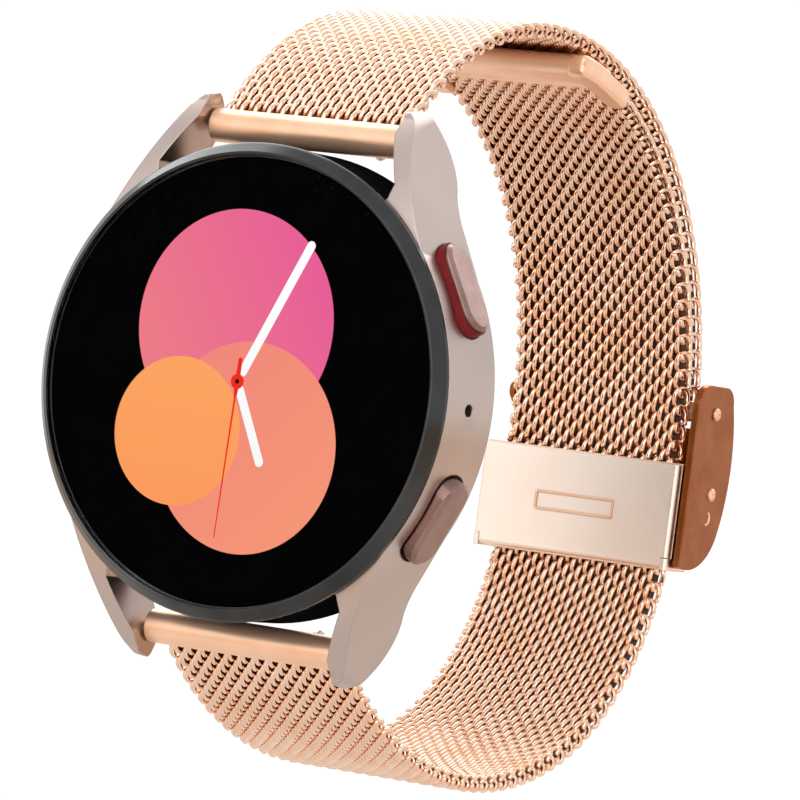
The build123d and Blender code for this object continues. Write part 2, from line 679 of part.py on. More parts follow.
# Plate that flips towards the wrist: its cam presses on the strap when it is shut.
with BuildPart() as lock_plate:
    with BuildSketch(Plane.YZ):
        with BuildLine():
            Line((PLATE_FRONT, LOCK_PIN_Z + 0.1), (PLATE_FRONT, BOX_TOP - 0.15))
            Line((PLATE_FRONT, BOX_TOP - 0.15), (PLATE_BACK - 0.05, BOX_TOP - 0.15))
            Line((PLATE_BACK - 0.05, BOX_TOP - 0.15), (PLATE_BACK - 0.05, LOCK_PIN_Z))
            ThreePointArc(
                (PLATE_BACK - 0.05, LOCK_PIN_Z),
                (LOCK_PIN_Y, LOCK_PIN_Z - 0.42),
                (PLATE_FRONT, LOCK_PIN_Z + 0.1),
            )
        make_face()
    extrude(amount=PLATE_HALF, both=True)
    fillet(lock_plate.edges().filter_by(Axis.Z).sort_by(Axis.Y)[:2], 0.35)
    # Room for the box's knuckles.
    for side in (-1, 1):
        with BuildSketch(Plane.YZ.offset(side * (KNUCKLE_HALF - 0.06))):
            with Locations(((PLATE_FRONT + PLATE_BACK) / 2, KNUCKLE_TOP + 0.06 - 5)):
                Rectangle(4, 10)
        extrude(amount=side * 2, mode=Mode.SUBTRACT)
    # Cam ridge.
    with BuildSketch(Plane.YZ):
        with Locations((PLATE_BACK + 0.1, LOCK_PIN_Z + 1.9)):
            SlotOverall(0.8, 0.5)
    extrude(amount=7.8, both=True)
    # Pressed frame on the plate's face.
    with BuildSketch(facing(PLATE_FRONT + 0.1)):
        with Locations((0, (BOX_TOP + BOX_BOTTOM) / 2)):
            RectangleRounded(8.7, 1.9, 0.3)
            RectangleRounded(8.2, 1.4, 0.15, mode=Mode.SUBTRACT)
    extrude(amount=0.22)
    with BuildSketch(Plane.YZ):
        with Locations((LOCK_PIN_Y, LOCK_PIN_Z)):
            Circle(LOCK_PIN_RADIUS + 0.04)
    extrude(amount=BOX_HALF, both=True, mode=Mode.SUBTRACT)
finish(lock_plate, "lock_plate")


def cover_side():
    """D-shaped side of the cover, in Plane.YZ."""
    Line((63.3, -12.1), (63.3, 3.6))
    ThreePointArc((63.3, 3.6), (64.1, 5.0), (65.8, 5.5))
    Line((65.8, 5.5), (68.6, 5.5))
    ThreePointArc((68.6, 5.5), (69.8, 5.0), (70.3, 3.8))
    ThreePointArc((70.3, 3.8), (71.3, -3.0), (69.9, -9.2))
    ThreePointArc((69.9, -9.2), (67.4, -11.7), (63.3, -12.1))


# Sheet cover: an ear at 3 o'clock, a curved outer plate, and at 9 o'clock a low wall
# and an arm that reaches to the hinge pin.
ARM_OUTER = 10.7
ARM_INNER = 10.1
with BuildPart() as clasp_cover:
    with BuildSketch(Plane.YZ):
        with BuildLine():
            cover_side()
        make_face()
    extrude(amount=EAR_OUTER, both=True)
    with BuildSketch(Plane.YZ):
        with BuildLine():
            Line((60, -16), (60, 8))
            Line((60, 8), (75, 8))
            Line((75, 8), (75, 1.2))
            Line((75, 1.2), (69.95, 1.2))
            ThreePointArc((69.95, 1.2), (70.6, -3.6), (69.2, -9.0))
            ThreePointArc((69.2, -9.0), (68.35, -10.3), (67.05, -11.1))
            Line((67.05, -11.1), (67.0, -16))
            Line((67.0, -16), (60, -16))
        make_face()
    extrude(amount=EAR_INNER, both=True, mode=Mode.SUBTRACT)
    with BuildSketch(Plane.YZ.offset(-EAR_INNER + 0.1)):
        with BuildLine():
            Polyline(
                (60, -16), (66.9, -16), (66.9, -2.8), (69.9, -2.8), (69.9, 1.2), (75, 1.2), (75, 8), (60, 8),
                close=True,
            )
        make_face()
    extrude(amount=-2, mode=Mode.SUBTRACT)
    with BuildSketch(Plane.YZ.offset(-ARM_OUTER)):
        with Locations((PIN_Y, PIN_Z)):
            Circle(0.95)
        with BuildLine():
            Polyline((66.3, 2.05), (67.25, 3.65), (70.6, 1.15), (70.75, -2.0), (70.0, -2.0), close=True)
        make_face()
    extrude(amount=ARM_OUTER - ARM_INNER)
    with BuildSketch(Plane.YZ):
        with Locations((PIN_Y, PIN_Z)):
            Circle(PIN_RADIUS + RUNNING_GAP)
        with Locations((RIVET_Y, RIVET_Z)):
            Circle(PIN_RADIUS)
    extrude(amount=EAR_OUTER + 1, both=True, mode=Mode.SUBTRACT)
finish(clasp_cover, "clasp_cover")

with BuildPart() as cover_rivets:
    for side in (-1, 1):
        with BuildSketch(Plane.YZ.offset(side * (EAR_INNER - 0.05))):
            with Locations((RIVET_Y, RIVET_Z)):
                Circle(PIN_RADIUS)
        extrude(amount=side * (EAR_OUTER - EAR_INNER + 0.05))
        with BuildSketch(Plane.YZ.offset(side * EAR_OUTER)):
            with Locations((RIVET_Y, RIVET_Z)):
                Circle(0.62)
        extrude(amount=side * 0.16)
finish(cover_rivets, "cover_rivets")

# Hinge pin at the end of the outer layer, and the sheet that wraps round it.
with BuildPart() as cover_hinge_pin:
    with BuildSketch(Plane.YZ.offset(-ARM_OUTER)):
        with Locations((PIN_Y, PIN_Z)):
            Circle(PIN_RADIUS)
    extrude(amount=ARM_OUTER + EAR_OUTER + 0.05)
    with BuildSketch(Plane.YZ.offset(EAR_OUTER + 0.05)):
        with Locations((PIN_Y, PIN_Z)):
            Circle(0.62)
    extrude(amount=0.14)
finish(cover_hinge_pin, "cover_hinge_pin")

with BuildPart() as end_wrap:
    with BuildSketch(Plane.YZ):
        with Locations((PIN_Y, PIN_Z)):
            Circle(0.95)
        with BuildLine():
            Polyline(
                loop_point(UPPER_END, OUTER_HIGH),
                loop_point(UPPER_END, OUTER_LOW),
                (PIN_Y - 0.93, PIN_Z - 0.1),
                (PIN_Y + 0.93, PIN_Z - 0.1),
                close=True,
            )
        make_face()
        with Locations((PIN_Y, PIN_Z)):
            Circle(PIN_RADIUS, mode=Mode.SUBTRACT)
    extrude(amount=BAND_WIDTH / 2 - 0.1, both=True)
finish(end_wrap, "end_wrap")
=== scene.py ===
"""Looks of the round smartwatch on its woven-wire band: metres, in the CAD's own frame."""

from math import cos, pi, radians, sin, sqrt

import bpy
import numpy as np
from mathutils import Matrix, Vector


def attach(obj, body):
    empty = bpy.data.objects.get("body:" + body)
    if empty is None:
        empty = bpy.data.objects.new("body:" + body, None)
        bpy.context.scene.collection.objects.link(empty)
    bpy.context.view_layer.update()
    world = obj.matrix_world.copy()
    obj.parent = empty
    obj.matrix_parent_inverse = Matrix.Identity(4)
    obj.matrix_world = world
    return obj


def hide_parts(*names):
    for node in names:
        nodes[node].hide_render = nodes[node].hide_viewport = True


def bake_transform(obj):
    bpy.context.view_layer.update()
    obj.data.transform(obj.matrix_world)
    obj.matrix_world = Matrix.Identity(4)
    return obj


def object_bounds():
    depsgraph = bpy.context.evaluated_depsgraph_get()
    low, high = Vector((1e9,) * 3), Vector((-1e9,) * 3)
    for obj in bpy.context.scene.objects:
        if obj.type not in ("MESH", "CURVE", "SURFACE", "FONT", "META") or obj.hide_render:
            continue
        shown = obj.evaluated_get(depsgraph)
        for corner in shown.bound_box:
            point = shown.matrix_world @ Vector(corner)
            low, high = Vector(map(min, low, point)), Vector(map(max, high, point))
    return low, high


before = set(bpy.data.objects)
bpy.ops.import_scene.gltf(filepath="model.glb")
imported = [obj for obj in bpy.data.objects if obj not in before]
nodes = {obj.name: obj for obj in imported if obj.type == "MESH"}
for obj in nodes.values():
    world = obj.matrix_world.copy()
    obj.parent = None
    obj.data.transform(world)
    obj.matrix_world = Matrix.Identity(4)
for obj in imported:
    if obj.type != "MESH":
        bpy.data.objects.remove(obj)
cad_low, cad_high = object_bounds()

MM = 0.001

# ---- The band's path, as in the CAD, in millimetres ---------------------------

LOOP_START = (8.73, 22.23)
LOOP_HEADING = 54.1
LOOP_TURNS = (46.6, 80.4, 17.1, 1.2, 17.0, 52.6, 65.1)
LOOP_RADII = (28.5, 33.5, 30.5, 600.0, 13.0, 27.54, 38.29)
LAYER_MIDDLE = 0.975  # from the loop to the middle of a layer of mesh
UPPER_FLEX = -22.0
LOWER_FLEX = -138.0
UPPER_END = -85.757
TAIL_FLEX = -90.33
TAIL_END = -15.0


def outward(heading):
    """Unit vector (y, z) that points out of the loop where it runs at heading."""
    return np.array((-sin(radians(heading)), cos(radians(heading))))


def loop_arcs():
    """Each arc as (centre y, centre z, radius, heading at start, turn), angles in radians."""
    place = np.array(LOOP_START)
    heading = LOOP_HEADING
    arcs = []
    for turn, radius in zip(LOOP_TURNS, LOOP_RADII):
        centre = place - radius * outward(heading)
        arcs.append((centre[0], centre[1], radius, radians(heading), radians(turn)))
        heading -= turn
        place = centre + radius * outward(heading)
    return np.array(arcs)


ARCS = loop_arcs()
LOOP_END = LOOP_HEADING - sum(LOOP_TURNS)


def on_layer(s, lift, middle):
    """(y, z) at length s along a layer whose middle is at offset middle, lifted outwards by lift."""
    lengths = (ARCS[:, 2] + middle) * ARCS[:, 4]
    starts = np.concatenate(([0.0], np.cumsum(lengths)[:-1]))
    index = np.clip(np.searchsorted(starts, s, side="right") - 1, 0, len(ARCS) - 1)
    arc = ARCS[index]
    heading = arc[..., 3] - (s - starts[index]) / (arc[..., 2] + middle)
    reach = arc[..., 2] + middle + lift
    return arc[..., 0] - reach * np.sin(heading), arc[..., 1] + reach * np.cos(heading)


def length_at(heading, middle):
    """Length along a layer from the 12 o'clock end to where it runs at heading."""
    total, left = 0.0, radians(LOOP_HEADING - heading)
    for arc in ARCS:
        part = min(left, arc[4])
        total += part * (arc[2] + middle)
        left -= part
    return total


# ---- Materials ------------------------------------------------------------------


class Surface:
    """A principled material, with small builders for its procedural detail."""

    def __init__(self, name, **sockets):
        self.material = bpy.data.materials.new(name)
        self.material.use_nodes = True
        self.tree = self.material.node_tree
        self.tree.nodes.clear()
        self.shader = self.node("ShaderNodeBsdfPrincipled")
        self.out = self.node("ShaderNodeOutputMaterial")
        self.link(self.shader.outputs["BSDF"], self.out.inputs["Surface"])
        self.place = self.node("ShaderNodeTexCoord").outputs["Object"]
        for key, value in sockets.items():
            self.shader.inputs[key.replace("_", " ")].default_value = value

    def node(self, kind, **inputs):
        made = self.tree.nodes.new(kind)
        for key, value in inputs.items():
            made.inputs[key].default_value = value
        return made

    def link(self, a, b):
        self.tree.links.new(a, b)

    def stretched(self, scale):
        """Object coordinates, scaled along each axis."""
        mapping = self.node("ShaderNodeMapping", Scale=scale)
        self.link(self.place, mapping.inputs["Vector"])
        return mapping.outputs["Vector"]

    def noise(self, scale, detail=3.0, where=None):
        made = self.node("ShaderNodeTexNoise", Scale=scale, Detail=detail)
        self.link(where or self.place, made.inputs["Vector"])
        return made.outputs["Fac"]

    def spread(self, value, low, high):
        """Value from 0.3 to 0.7 spread over low to high."""
        made = self.node("ShaderNodeMapRange")
        for socket, number in zip(made.inputs[1:5], (0.3, 0.7, low, high)):
            socket.default_value = number
        self.link(value, made.inputs[0])
        return made.outputs[0]

    def ramp(self, value, *stops):
        made = self.node("ShaderNodeValToRGB")
        elements = made.color_ramp.elements
        while len(elements) < len(stops):
            elements.new(0.5)
        for element, (position, colour) in zip(elements, stops):
            element.position = position
            element.color = (*colour, 1.0)
        self.link(value, made.inputs["Fac"])
        return made.outputs["Color"]

    def colour(self, value, *stops):
        self.link(self.ramp(value, *stops), self.shader.inputs["Base Color"])

    def roughness(self, value, low, high):
        self.link(self.spread(value, low, high), self.shader.inputs["Roughness"])

    def bump(self, value, distance, round_edges=0.0):
        """Relief of a depth in metres, on edges that are first rounded by a radius."""
        made = self.node("ShaderNodeBump", Distance=distance)
        self.link(value, made.inputs["Height"])
        if round_edges:
            bevel = self.node("ShaderNodeBevel", Radius=round_edges)
            self.link(bevel.outputs["Normal"], made.inputs["Normal"])
        self.link(made.outputs["Normal"], self.shader.inputs["Normal"])


def metal(name, dark, light, rough, grain, depth, scale=(1, 1, 1), blotch=400.0, round_edges=0.0,
          metallic=1.0):
    """Metal whose colour drifts between two tones, with grain of a given size stretched by scale."""
    made = Surface(name, Metallic=metallic)
    made.colour(made.noise(blotch, 2.0), (0.3, dark), (0.7, light))
    fine = made.noise(grain, 4.0, made.stretched(scale))
    made.roughness(fine, *rough)
    made.bump(fine, depth, round_edges)
    return made.material


ROSE_DARK = (0.93, 0.62, 0.44)
ROSE_LIGHT = (0.98, 0.73, 0.58)

wire_metal = metal("rose_wire", ROSE_DARK, ROSE_LIGHT, (0.10, 0.20), 9000.0, 0.000006, blotch=260.0)
tube_metal = metal("rose_polished", (0.93, 0.56, 0.36), (0.97, 0.63, 0.43), (0.30, 0.42), 2600.0,
                   0.000006, scale=(0.08, 1, 1), round_edges=0.0002, metallic=0.72)
# The clasp's ear and the walls of the lock plate's pressed frame: rose gold darkened to deep copper, a
# painted shade.
painted_shade_rose = metal("rose_painted_shade", (0.31, 0.083, 0.02), (0.37, 0.112, 0.03), (0.24, 0.36), 3000.0, 0.000004,
                  scale=(1, 1, 0.25), round_edges=0.00025)
plate_metal = metal("rose_satin", (0.98, 0.84, 0.74), (1.0, 0.89, 0.81), (0.34, 0.46), 6200.0, 0.000006,
                    scale=(0.5, 1, 1), blotch=150.0, round_edges=0.00022)
box_metal = metal("rose_box", (0.90, 0.60, 0.45), (0.94, 0.68, 0.53), (0.18, 0.30), 3400.0, 0.000006,
                  scale=(1, 1, 0.2), round_edges=0.0002)
case_metal = metal("case_satin", (0.52, 0.43, 0.39), (0.58, 0.48, 0.44), (0.28, 0.38), 7000.0, 0.000002,
                   blotch=120.0, round_edges=0.0002)
button_metal = metal("button_brushed", (0.28, 0.175, 0.155), (0.36, 0.23, 0.205), (0.22, 0.34), 9000.0,
                     0.000008, scale=(0.06, 1, 0.06), round_edges=0.0001)
bezel_metal = metal("bezel_dark", (0.048, 0.049, 0.050), (0.070, 0.071, 0.072), (0.14, 0.24), 6000.0,
                    0.000003, blotch=200.0, round_edges=0.00012)
steel_metal = metal("steel", (0.52, 0.50, 0.48), (0.62, 0.60, 0.58), (0.2, 0.36), 3000.0, 0.00001,
                    scale=(0.1, 1, 1))


def moulded(name, dark, light, rough, grain=5000.0, depth=0.00001, **sockets):
    """Plastic, rubber or paint with a fine texture."""
    made = Surface(name, **sockets)
    made.colour(made.noise(600.0, 3.0), (0.3, dark), (0.7, light))
    fine = made.noise(grain, 3.0)
    made.roughness(fine, *rough)
    made.bump(fine, depth)
    return made.material


black_plastic = moulded("black_plastic", (0.003, 0.003, 0.0035), (0.006, 0.006, 0.0065), (0.5, 0.65),
                        Specular_IOR_Level=0.0)
inner_plastic = moulded("inner_plastic", (0.03, 0.03, 0.032), (0.05, 0.05, 0.052), (0.5, 0.65))
black_rubber = moulded("black_rubber", (0.012, 0.012, 0.012), (0.02, 0.02, 0.02), (0.6, 0.8), 3500.0)
rear_glass = moulded("rear_glass", (0.006, 0.007, 0.010), (0.010, 0.011, 0.014), (0.04, 0.09), 900.0,
                     0.000002, Coat_Weight=1.0)
trim_red = moulded("trim_red", (0.13, 0.006, 0.008), (0.18, 0.010, 0.012), (0.4, 0.55),
                   Specular_IOR_Level=0.15)
board_green = moulded("board_green", (0.010, 0.06, 0.03), (0.014, 0.09, 0.045), (0.35, 0.5), 2500.0)
copper_wire = metal("copper_wire", (0.78, 0.36, 0.20), (0.86, 0.44, 0.26), (0.25, 0.4), 4000.0, 0.00002)
battery_wrap = moulded("battery_wrap", (0.10, 0.10, 0.11), (0.14, 0.14, 0.15), (0.4, 0.55), 1200.0)
sensor_parts = moulded("sensor_parts", (0.25, 0.22, 0.10), (0.33, 0.30, 0.16), (0.25, 0.4))
mesh_shade = moulded("mesh_shade", (0.045, 0.016, 0.006), (0.080, 0.030, 0.012), (0.6, 0.8), 3000.0, 0.00002)
adhesive = moulded("adhesive", (0.015, 0.015, 0.016), (0.02, 0.02, 0.022), (0.5, 0.7))


def clear_glass():
    """Thin clear glass: what is behind shows, and the front mirrors by Fresnel."""
    made = Surface("cover_glass_clear")
    made.tree.nodes.remove(made.shader)
    clear = made.node("ShaderNodeBsdfTransparent")
    gloss = made.node("ShaderNodeBsdfGlossy")
    smear = made.spread(made.noise(220.0, 2.0), 0.015, 0.05)
    made.link(smear, gloss.inputs["Roughness"])
    share = made.node("ShaderNodeFresnel", IOR=1.04)
    mix = made.node("ShaderNodeMixShader")
    made.link(share.outputs["Fac"], mix.inputs["Fac"])
    made.link(clear.outputs["BSDF"], mix.inputs[1])
    made.link(gloss.outputs["BSDF"], mix.inputs[2])
    made.link(mix.outputs["Shader"], made.out.inputs["Surface"])
    return made.material


PIXEL_GRAIN = 0.04


def lit(name, start, end, *stops):
    """Display light that runs through colours from start to end, with a faint pixel grain."""
    made = Surface(name)
    made.tree.nodes.remove(made.shader)
    along = Vector(end) - Vector(start)
    place = made.node("ShaderNodeVectorMath")
    place.operation = "SUBTRACT"
    place.inputs[1].default_value = start
    made.link(made.place, place.inputs[0])
    dot = made.node("ShaderNodeVectorMath")
    dot.operation = "DOT_PRODUCT"
    dot.inputs[1].default_value = along / along.length_squared
    made.link(place.outputs["Vector"], dot.inputs[0])
    grain = made.node("ShaderNodeMath")
    grain.operation = "MULTIPLY_ADD"
    grain.inputs[1].default_value = PIXEL_GRAIN
    made.link(made.noise(5000.0, 1.0), grain.inputs[0])
    made.link(dot.outputs["Value"], grain.inputs[2])
    light = made.node("ShaderNodeEmission")
    made.link(made.ramp(grain.outputs["Value"], *stops), light.inputs["Color"])
    made.link(light.outputs["Emission"], made.out.inputs["Surface"])
    return made.material


def srgb(*values):
    """Linear colour of an 8-bit display colour."""
    return tuple((v / 255 / 12.92) if v < 11 else ((v / 255 + 0.055) / 1.055) ** 2.4 for v in values)


# ---- CAD nodes that stay, with better materials -----------------------------------

FINISHES = {
    case_metal: ["case_frame"],
    bezel_metal: ["bezel_ring"],
    clear_glass(): ["cover_glass"],
    black_plastic: ["rear_housing", "display_panel"],
    rear_glass: ["sensor_window"],
    button_metal: ["upper_button", "lower_button"],
    trim_red: ["upper_button_trim"],
    tube_metal: ["upper_end_tube", "lower_end_tube", "end_wrap", "cover_hinge_pin", "cover_rivets"],
    # The clasp's ear takes the darkened rose gold, a painted shade.
    painted_shade_rose: ["clasp_cover"],
    plate_metal: ["lock_plate"],
    box_metal: ["slider_box"],
    steel_metal: ["lock_plate_pin", "rear_screws", "upper_bar_tube", "lower_bar_tube", "upper_bar_spring",
                  "lower_bar_spring", "upper_release_lever", "lower_release_lever", "board_shields",
                  "vibration_motor", "display_bracket"],
    black_rubber: ["rear_gasket", "upper_button_seal", "lower_button_seal"],
    inner_plastic: ["inner_cradle", "speaker", "microphone", "button_switches"],
    adhesive: ["glass_adhesive"],
    battery_wrap: ["battery"],
    board_green: ["main_board", "sensor_board"],
    copper_wire: ["charging_coil"],
    sensor_parts: ["sensor_lights"],
}
for finish, names in FINISHES.items():
    for name in names:
        data = nodes[name].data
        data.materials.clear()
        data.materials.append(finish)

# The knuckles of the slider box that show beside the lock plate are plated as it is.
KNUCKLE_BACK = 63.3
KNUCKLE_TOP = -11.0
box_data = nodes["slider_box"].data
box_data.materials.append(plate_metal)
for polygon in box_data.polygons:
    centre = polygon.center / MM
    if centre.y < KNUCKLE_BACK and centre.z < KNUCKLE_TOP:
        polygon.material_index = 1

# The pressed frame on the lock plate is darkened as painted shade: its front faces take the tubes' deeper
# tone, and its walls the ear's darker tone.
FRAME_FOOT = 62.47  # just in front of the plate's face
FRAME_MIDDLE = -7.45
FRAME_REACH_X, FRAME_REACH_Z = 4.5, 1.1  # a little more than half the frame's length and height
FACES_FRONT = 0.7  # least share of a face's normal that lies along y, if it faces the wrist
plate_data = nodes["lock_plate"].data
plate_data.materials.append(tube_metal)
plate_data.materials.append(painted_shade_rose)
for polygon in plate_data.polygons:
    centre = polygon.center / MM
    beside = abs(centre.x) < FRAME_REACH_X and abs(centre.z - FRAME_MIDDLE) < FRAME_REACH_Z
    if beside and centre.y < FRAME_FOOT:
        # Front faces take the tubes' deeper tone, walls the dark tone: painted shade in the frame.
        polygon.material_index = 1 if abs(polygon.normal.y) > FACES_FRONT else 2


# ---- Mesh building ------------------------------------------------------------------


def piece(name, points, faces, finish, body, smooth=True):
    """Mesh object from points in millimetres. It rides on a body, unless body is None."""
    data = bpy.data.meshes.new(name)
    data.vertices.add(len(points))
    data.vertices.foreach_set("co", (np.asarray(points, float) * MM).astype(np.float32).ravel())
    sizes = np.array([len(face) for face in faces])
    corners = np.concatenate([np.asarray(face) for face in faces]).astype(np.int32)
    data.loops.add(len(corners))
    data.loops.foreach_set("vertex_index", corners)
    data.polygons.add(len(sizes))
    data.polygons.foreach_set("loop_start", np.concatenate(([0], np.cumsum(sizes)[:-1])).astype(np.int32))
    data.update(calc_edges=True)
    data.validate()
    data.polygons.foreach_set("use_smooth", [smooth] * len(data.polygons))
    data.materials.append(finish)
    made = bpy.data.objects.new(name, data)
    bpy.context.scene.collection.objects.link(made)
    if body:
        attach(made, body)
    return made


def closed_rings(rings):
    """Points and faces of a solid drawn through closed rings of equal count, with flat ends."""
    rings = np.asarray(rings, float)
    levels, count = rings.shape[:2]
    rows = np.arange(levels - 1)[:, None] * count
    here = np.arange(count)[None, :]
    after = (here + 1) % count
    quads = np.stack((rows + here, rows + after, rows + count + after, rows + count + here), axis=-1)
    last = (levels - 1) * count
    faces = [tuple(range(count - 1, -1, -1)), *map(tuple, quads.reshape(-1, 4).tolist())]
    return rings.reshape(-1, 3), faces + [tuple(range(last, last + count))]


# ---- Woven mesh ---------------------------------------------------------------------

WIRE = 0.262  # radius
COIL_STEP = 0.86  # from coil to coil along the strap
TURN_STEP = 1.43  # from turn to turn across the strap
COIL_REACH = 0.84  # half a coil's extent along the strap
COIL_RISE = 0.588  # half a coil's extent through the strap
STROKE_HOLD = 0.72  # how much more slowly a turn moves across on its long strokes
EDGE = 9.80  # outermost centre of the wire
EDGE_SOFT = 0.3  # how far from the edge a turn starts to slow down
HALF_TURNS = 27
TURN_PARTS = 16
WIRE_SIDES = 6
WIRE_END = 0.55  # share of the wire's radius at its two ends
UNEVEN_S, UNEVEN_X = 0.012, 0.015  # how far a coil lies from its even place
RATE_S, RATE_X = 2.4, 1.7  # radians by which that changes from coil to coil
CORE_HALF = 9.15  # half the width of the shade in the weave
CORE_THICK = 0.04
CORE_STEP = 0.5
CORE_SPARE = 0.3  # how far the shade runs on past a length of mesh


def coil(short):
    """Wire points of one coil laid flat, as (x, s, n), and its quads. A short coil lacks half a turn."""
    halves = HALF_TURNS - short
    phase = np.linspace(-halves * pi / 2, halves * pi / 2, halves * TURN_PARTS // 2 + 1)
    sign = 1.0 if short else -1.0
    x = TURN_STEP / (2 * pi) * (phase - STROKE_HOLD / 2 * np.sin(2 * phase))
    free = EDGE - short * TURN_STEP / 2 - EDGE_SOFT
    excess = np.maximum(np.abs(x) - free, 0)
    x = np.sign(x) * (np.minimum(np.abs(x), free) + EDGE_SOFT * (1 - np.exp(-excess / EDGE_SOFT)))
    centre = np.stack((x, sign * COIL_REACH * np.sin(phase), sign * COIL_RISE * np.cos(phase)), axis=1)
    tangent = np.gradient(centre, axis=0)
    tangent /= np.linalg.norm(tangent, axis=1)[:, None]
    up = np.stack((0 * phase, centre[:, 1] / COIL_REACH**2, centre[:, 2] / COIL_RISE**2), axis=1)
    up -= (up * tangent).sum(1)[:, None] * tangent
    up /= np.linalg.norm(up, axis=1)[:, None]
    aside = np.cross(tangent, up)
    around = np.arange(WIRE_SIDES) * 2 * pi / WIRE_SIDES
    thick = np.full(len(phase), WIRE)
    thick[[0, -1]] *= WIRE_END
    ring = np.cos(around)[None, :, None] * up[:, None] + np.sin(around)[None, :, None] * aside[:, None]
    points = centre[:, None] + thick[:, None, None] * ring
    rows = np.arange(len(phase) - 1)[:, None] * WIRE_SIDES
    here = np.arange(WIRE_SIDES)[None, :]
    after = (here + 1) % WIRE_SIDES
    ahead = rows + WIRE_SIDES
    quads = np.stack((rows + here, rows + after, ahead + after, ahead + here), axis=-1)
    caps = np.array([[3, 2, 1, 0], [5, 4, 3, 0]])
    last = (len(phase) - 1) * WIRE_SIDES
    return points.reshape(-1, 3), np.concatenate((quads.reshape(-1, 4), caps, last + caps[:, ::-1]))


COILS = (coil(0), coil(1))


def core(first, last, middle):
    """Thin dark sheet in the middle of a layer, the shade inside the dense weave, as points and quads."""
    steps = int(np.ceil((last - first) / CORE_STEP)) + 1
    s = np.linspace(first, last, steps)
    points = []
    for side_x, side_n in ((-1, -1), (1, -1), (1, 1), (-1, 1)):
        x = side_x * CORE_HALF
        y, z = on_layer(s, np.full(steps, side_n * CORE_THICK / 2), middle)
        points.append(np.stack((np.full(steps, x), y, z), axis=1))
    points = np.stack(points, axis=1).reshape(-1, 3)
    rows = np.arange(steps - 1)[:, None] * 4
    here, after = np.arange(4)[None, :], (np.arange(4)[None, :] + 1) % 4
    quads = np.stack((rows + here, rows + 4 + here, rows + 4 + after, rows + after), axis=-1)
    ends = np.array([[0, 1, 2, 3], [4 * steps - 1, 4 * steps - 2, 4 * steps - 3, 4 * steps - 4]])
    return points, np.concatenate((quads.reshape(-1, 4), ends))


def weave(name, first, last, count_from, middle, body):
    """Mesh between lengths first and last of a layer, whose coils lie at whole steps from count_from."""
    low = int(np.ceil((first - count_from) / COIL_STEP - 1e-6))
    high = int(np.ceil((last - count_from) / COIL_STEP - 1e-6))
    all_points, all_faces, base = [], [], 0
    for number in range(low, high):
        points, faces = COILS[number % 2]
        s = count_from + number * COIL_STEP + UNEVEN_S * sin(number * RATE_S)
        y, z = on_layer(s + points[:, 1], points[:, 2], middle)
        all_points.append(np.stack((points[:, 0] + UNEVEN_X * sin(number * RATE_X), y, z), axis=1))
        all_faces.append(faces + base)
        base += len(points)
    wires = sum(len(faces) for faces in all_faces)
    points, faces = core(first - CORE_SPARE, last + CORE_SPARE, middle)
    all_points.append(points)
    all_faces.append(faces + base)
    points, faces = np.concatenate(all_points), np.concatenate(all_faces)
    made = piece(name, points, faces, wire_metal, body)
    made.data.materials.append(mesh_shade)
    which = np.zeros(len(made.data.polygons), np.int32)
    which[wires:] = 1
    made.data.polygons.foreach_set("material_index", which)
    return made


def bend(obj, first, second, s_first, s_last, middle):
    """Bake the object's place into its mesh points; the mesh is not bent, and first, second, s_first, s_last
    and middle are not used.
    """
    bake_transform(obj)


FLEX_HALF = 8.0  # half the length of mesh at a joint, cut as a piece of its own
FLEX_SPARE = 0.9  # how far the length of mesh at a joint is drawn past its two ends
TUBE_GAP_OUTER, TUBE_GAP_INNER = 1.4, 1.25  # from each end of the loop to the coil nearest its tube
WRAP_GAP = 0.35  # from the end wrap to the outer strap's last coil

outer_last = length_at(UPPER_END, LAYER_MIDDLE) - WRAP_GAP
upper_flex = length_at(UPPER_FLEX, LAYER_MIDDLE)
UPPER_BEND = (upper_flex - FLEX_HALF, upper_flex + FLEX_HALF)
OUTER = (TUBE_GAP_OUTER, LAYER_MIDDLE)
upper_cuts = (UPPER_BEND[0] - FLEX_SPARE, UPPER_BEND[1] + FLEX_SPARE)
upper_front = weave("upper_weave_front", TUBE_GAP_OUTER, upper_cuts[0], *OUTER, "upper_band_front")
upper_bend = weave("upper_weave_bend", *upper_cuts, *OUTER, None)
upper_back = weave("upper_weave_back", upper_cuts[1], outer_last, *OUTER, "upper_band_back")
bend(upper_bend, "upper_band_front", "upper_band_back", *UPPER_BEND, LAYER_MIDDLE)
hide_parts("upper_mesh_front")
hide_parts("upper_mesh_back")

MESH_IN_CAP = 7.0  # degrees of the loop that the mesh runs into the tail's cap
inner_last = length_at(LOOP_END, -LAYER_MIDDLE) - TUBE_GAP_INNER
tail_first = length_at(TAIL_END + MESH_IN_CAP, -LAYER_MIDDLE)
tail_flex = length_at(TAIL_FLEX, -LAYER_MIDDLE)
lower_flex = length_at(LOWER_FLEX, -LAYER_MIDDLE)
TAIL_BEND = (tail_flex - 9.0, tail_flex - 0.4)  # on the free side of the joint only
LOWER_BEND = (lower_flex - FLEX_HALF, lower_flex + FLEX_HALF)
INNER = (inner_last, -LAYER_MIDDLE)
tail_cuts = (TAIL_BEND[0] - FLEX_SPARE, TAIL_BEND[1] + FLEX_SPARE)
lower_cuts = (LOWER_BEND[0] - FLEX_SPARE, LOWER_BEND[1] + FLEX_SPARE)
tail = weave("tail_weave", tail_first, tail_cuts[0], *INNER, "tail")
tail_bend = weave("tail_weave_bend", *tail_cuts, *INNER, None)
lower_back = weave("lower_weave_back", tail_cuts[1], lower_cuts[0], *INNER, "lower_band_back")
lower_bend = weave("lower_weave_bend", *lower_cuts, *INNER, None)
lower_front = weave("lower_weave_front", lower_cuts[1], inner_last + 0.01, *INNER, "lower_band_front")
bend(tail_bend, "tail", "lower_band_back", *TAIL_BEND, -LAYER_MIDDLE)
